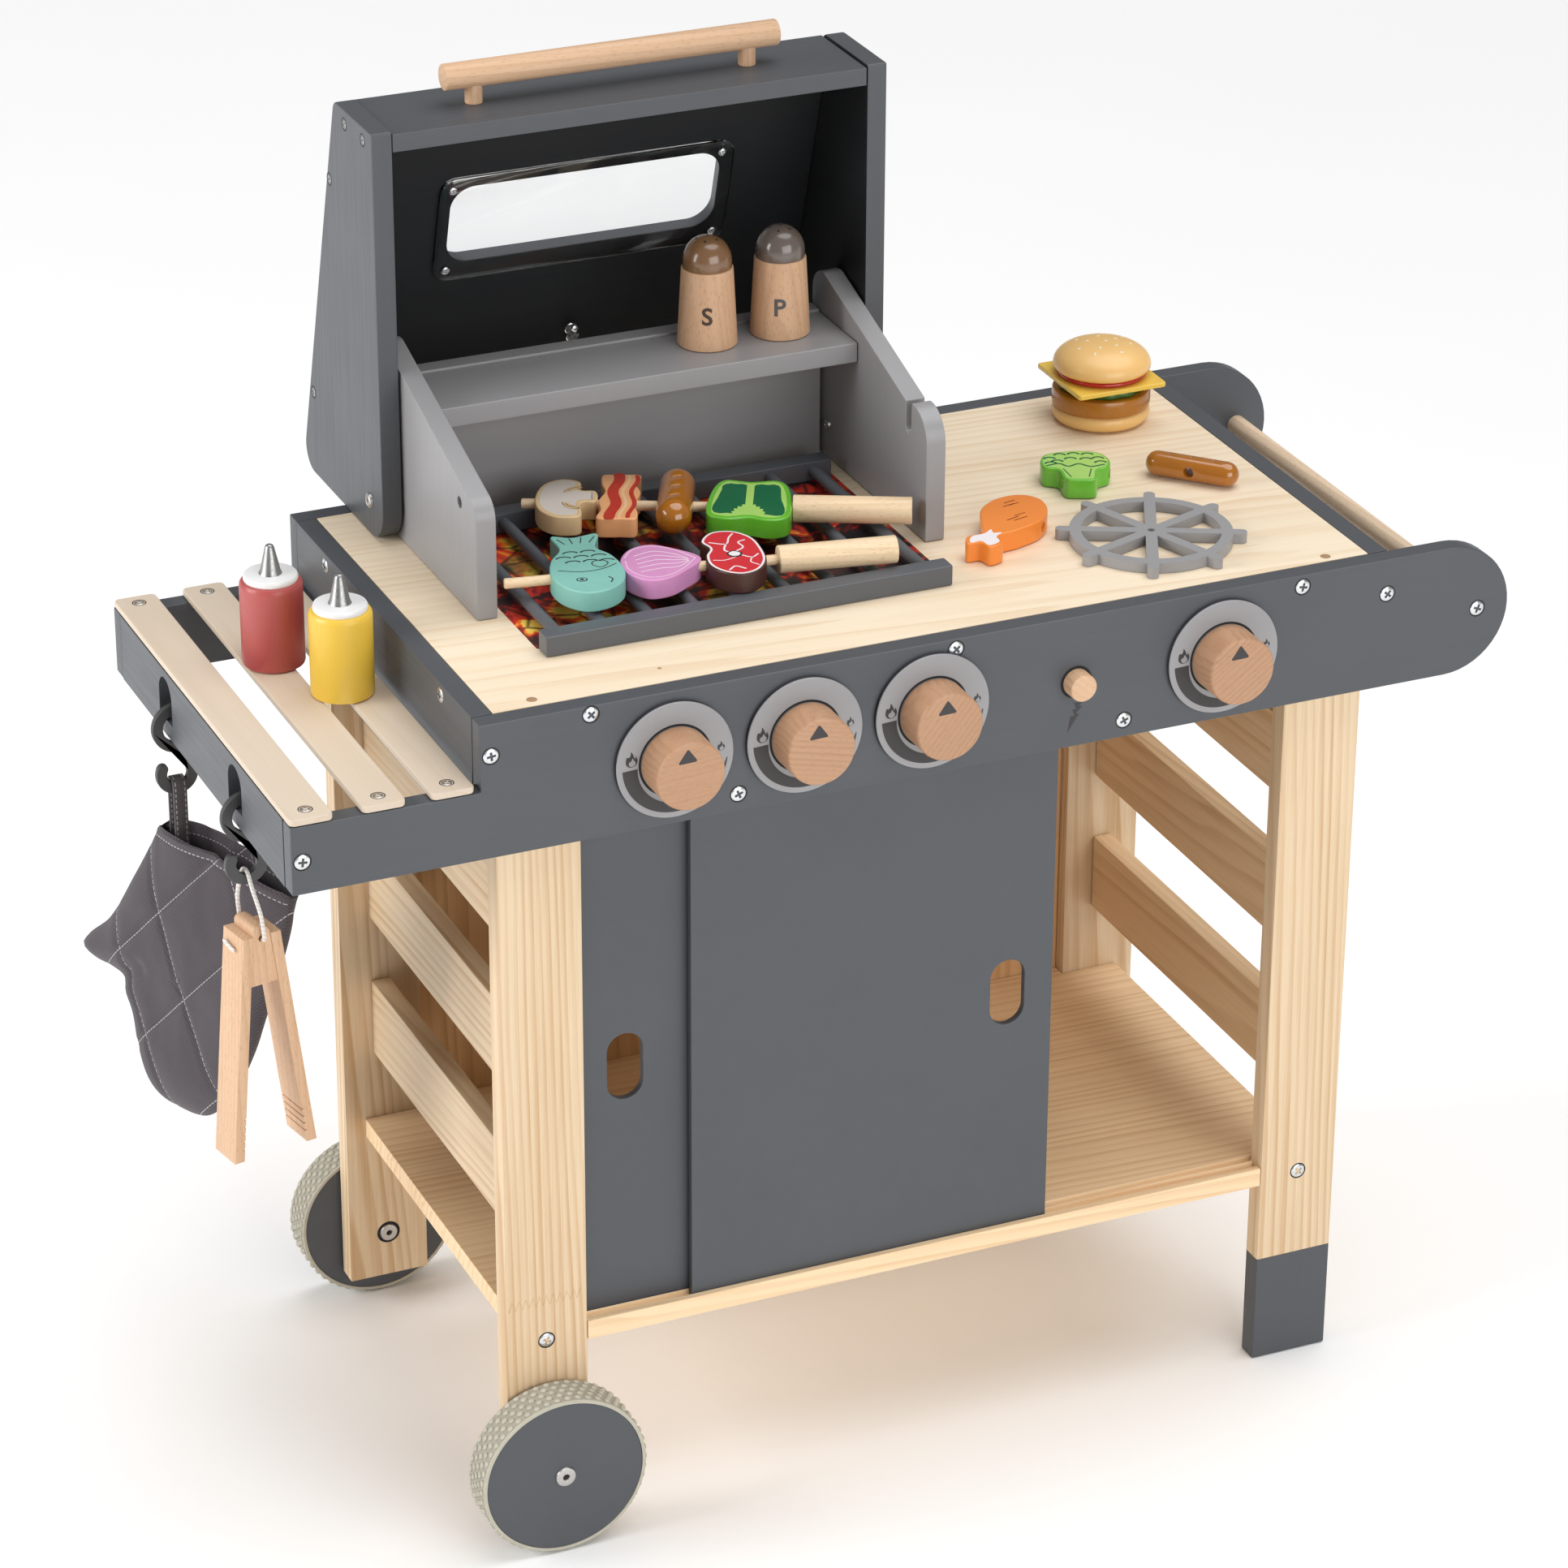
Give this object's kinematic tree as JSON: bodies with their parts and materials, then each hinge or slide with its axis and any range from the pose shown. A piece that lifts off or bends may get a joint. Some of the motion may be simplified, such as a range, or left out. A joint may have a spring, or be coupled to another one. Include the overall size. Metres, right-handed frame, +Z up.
{
  "type": "toy barbecue grill",
  "caption": "Wooden play barbecue cart with a hinged hood, grate, knobs, sliding cupboard doors, slatted side tray with hooks, wheels, and toy food, bottles, mitt and tongs.",
  "frame": {"origin": "middle of the footprint's bounding box, on the floor", "axes": "+X to the right along the boards, from the slatted tray to the push bar; +Y from the knobs to the back; +Z up"},
  "size_m": [0.7618, 0.3936, 0.787],
  "materials": {
    "dark_paint": "satin dark grey paint on board",
    "grey_paint": "satin mid grey paint on board",
    "pine": "pale oiled pine",
    "beech": "smooth beech",
    "plywood": "pale plywood",
    "rubber": "matt pale grey rubber",
    "black_paint": "matt dark grey paint",
    "red_paint": "satin red paint",
    "yellow_paint": "satin yellow paint",
    "bun_paint": "painted wood",
    "green_paint": "gloss green paint",
    "brown_paint": "gloss brown paint",
    "orange_paint": "gloss orange paint",
    "cloth": "grey cotton twill",
    "cord": "white braided cord"
  },
  "bodies": {
    "cart": {"front_board": "dark_paint", "back_board": "dark_paint", "tray_end_board": "dark_paint", "left_end_board": "dark_paint", "right_end_board": "dark_paint", "worktop": "pine", "push_handle": "beech", "front_left_leg": "pine", "front_right_leg": "pine", "back_left_leg": "pine", "back_right_leg": "pine", "left_rail_1": "pine", "left_rail_2": "pine", "left_rail_3": "pine", "right_rail_1": "pine", "right_rail_2": "pine", "right_rail_3": "pine", "bottom_shelf": "pine", "cabinet_back": "plywood", "tray_slat_1": "plywood", "tray_slat_2": "plywood", "tray_slat_3": "plywood", "left_cheek": "grey_paint", "right_cheek": "grey_paint", "spice_shelf": "grey_paint", "hearth_back": "grey_paint", "grate": "black_paint", "burner_ring": "grey_paint"},
    "lid": {"lid_left_side": "dark_paint", "lid_right_side": "dark_paint", "lid_top_board": "dark_paint", "lid_back_panel": "dark_paint", "lid_handle": "beech"},
    "right_door": {"right_door": "dark_paint"},
    "left_door": {"left_door": "dark_paint"},
    "front_wheel": {"front_wheel": "dark_paint", "front_tyre": "rubber"},
    "back_wheel": {"back_wheel": "dark_paint", "back_tyre": "rubber"},
    "knob_1": {"knob_1": "beech"},
    "knob_2": {"knob_2": "beech"},
    "knob_3": {"knob_3": "beech"},
    "knob_4": {"knob_4": "beech"},
    "igniter_button": {"igniter_button": "beech"},
    "hook_1": {"hook_1": "grey_paint"},
    "hook_2": {"hook_2": "grey_paint"},
    "oven_mitt": {"oven_mitt": "cloth"},
    "tongs": {"tongs_left_arm": "beech", "tongs_cord": "cord"},
    "tongs_right_arm": {"tongs_right_arm": "beech"},
    "ketchup_bottle": {"ketchup_bottle": "red_paint"},
    "mustard_bottle": {"mustard_bottle": "yellow_paint"},
    "salt_shaker": {"salt_shaker": "beech"},
    "pepper_shaker": {"pepper_shaker": "beech"},
    "upper_skewer": {"upper_skewer": "beech"},
    "lower_skewer": {"lower_skewer": "beech"},
    "burger": {"burger": "bun_paint"},
    "broccoli": {"broccoli": "green_paint"},
    "sausage": {"sausage": "brown_paint"},
    "drumstick": {"drumstick": "orange_paint"}
  },
  "joints": [
    {"name": "lid_hinge", "type": "hinge", "parent": "cart", "child": "lid", "pos_m": [-0.05628, 0.0862, 0.541], "axis": [1, 0, 0], "range_deg": [0, 90]},
    {"name": "left_door_slide", "type": "slide", "parent": "cart", "child": "left_door", "axis": [1, 0, 0], "range_m": [0, 0.202]},
    {"name": "right_door_slide", "type": "slide", "parent": "cart", "child": "right_door", "axis": [1, 0, 0], "range_m": [-0.064, 0.137]},
    {"name": "front_wheel_spin", "type": "hinge", "parent": "cart", "child": "front_wheel", "pos_m": [-0.20608, -0.1721, 0.0503], "axis": [0, 1, 0], "continuous": true},
    {"name": "back_wheel_spin", "type": "hinge", "parent": "cart", "child": "back_wheel", "pos_m": [-0.20608, 0.1335, 0.0503], "axis": [0, 1, 0], "continuous": true},
    {"name": "knob_1_turn", "type": "hinge", "parent": "cart", "child": "knob_1", "pos_m": [-0.13313, -0.1854, 0.4805], "axis": [0, 1, 0], "continuous": true},
    {"name": "knob_2_turn", "type": "hinge", "parent": "cart", "child": "knob_2", "pos_m": [-0.05713, -0.1854, 0.4805], "axis": [0, 1, 0], "continuous": true},
    {"name": "knob_3_turn", "type": "hinge", "parent": "cart", "child": "knob_3", "pos_m": [0.01887, -0.1854, 0.4805], "axis": [0, 1, 0], "continuous": true},
    {"name": "knob_4_turn", "type": "hinge", "parent": "cart", "child": "knob_4", "pos_m": [0.19727, -0.1854, 0.4805], "axis": [0, 1, 0], "continuous": true},
    {"name": "igniter_press", "type": "slide", "parent": "cart", "child": "igniter_button", "axis": [0, 1, 0], "range_m": [0, 0.004], "stiffness_N_per_m": 150, "springref_m": -0.002},
    {"name": "hook_1_swing", "type": "hinge", "parent": "cart", "child": "hook_1", "pos_m": [-0.34313, 0.0402, 0.4452], "axis": [0, 1, 0], "range_deg": [-8, 35]},
    {"name": "hook_2_swing", "type": "hinge", "parent": "cart", "child": "hook_2", "pos_m": [-0.34313, -0.0793, 0.4452], "axis": [0, 1, 0], "range_deg": [-8, 35]},
    {"name": "mitt_swing", "type": "hinge", "parent": "hook_1", "child": "oven_mitt", "pos_m": [-0.34483, 0.0402, 0.41115], "axis": [1, 0, 0], "range_deg": [-2, 12]},
    {"name": "tongs_swing", "type": "hinge", "parent": "hook_2", "child": "tongs", "pos_m": [-0.34483, -0.0793, 0.412], "axis": [1, 0, 0], "range_deg": [-7, 2]},
    {"name": "tongs_squeeze", "type": "hinge", "parent": "tongs", "child": "tongs_right_arm", "pos_m": [-0.33338, -0.0771, 0.3464], "axis": [-0.1908, 0.9816, 0], "range_deg": [0, 12], "stiffness_Nm_per_rad": 0.2},
    {"name": "ketchup_bottle_lift", "type": "slide", "parent": "cart", "child": "ketchup_bottle", "axis": [0, 0, 1], "range_m": [0, 0.12]},
    {"name": "mustard_bottle_lift", "type": "slide", "parent": "cart", "child": "mustard_bottle", "axis": [0, 0, 1], "range_m": [0, 0.12]},
    {"name": "burger_lift", "type": "slide", "parent": "cart", "child": "burger", "axis": [0, 0, 1], "range_m": [0, 0.1]},
    {"name": "broccoli_lift", "type": "slide", "parent": "cart", "child": "broccoli", "axis": [0, 0, 1], "range_m": [0, 0.06]},
    {"name": "sausage_lift", "type": "slide", "parent": "cart", "child": "sausage", "axis": [0, 0, 1], "range_m": [0, 0.06]},
    {"name": "upper_skewer_lift", "type": "slide", "parent": "cart", "child": "upper_skewer", "axis": [0, 0, 1], "range_m": [0, 0.03]},
    {"name": "lower_skewer_lift", "type": "slide", "parent": "cart", "child": "lower_skewer", "axis": [0, 0, 1], "range_m": [0, 0.03]},
    {"name": "salt_shaker_slide", "type": "slide", "parent": "cart", "child": "salt_shaker", "axis": [0, -1, 0], "range_m": [0, 0.475]},
    {"name": "pepper_shaker_slide", "type": "slide", "parent": "cart", "child": "pepper_shaker", "axis": [0, -1, 0], "range_m": [0, 0.475]},
    {"name": "drumstick_slide", "type": "slide", "parent": "cart", "child": "drumstick", "axis": [0.5, 0, 0.866], "range_m": [0, 0.061]}
  ],
  "couplings": [
    {"joint": "salt_shaker_slide", "follows": "lid_hinge", "m_per_rad": 0.3},
    {"joint": "pepper_shaker_slide", "follows": "lid_hinge", "m_per_rad": 0.3},
    {"joint": "drumstick_slide", "follows": "lid_hinge", "m_per_rad": 0.0382}
  ]
}
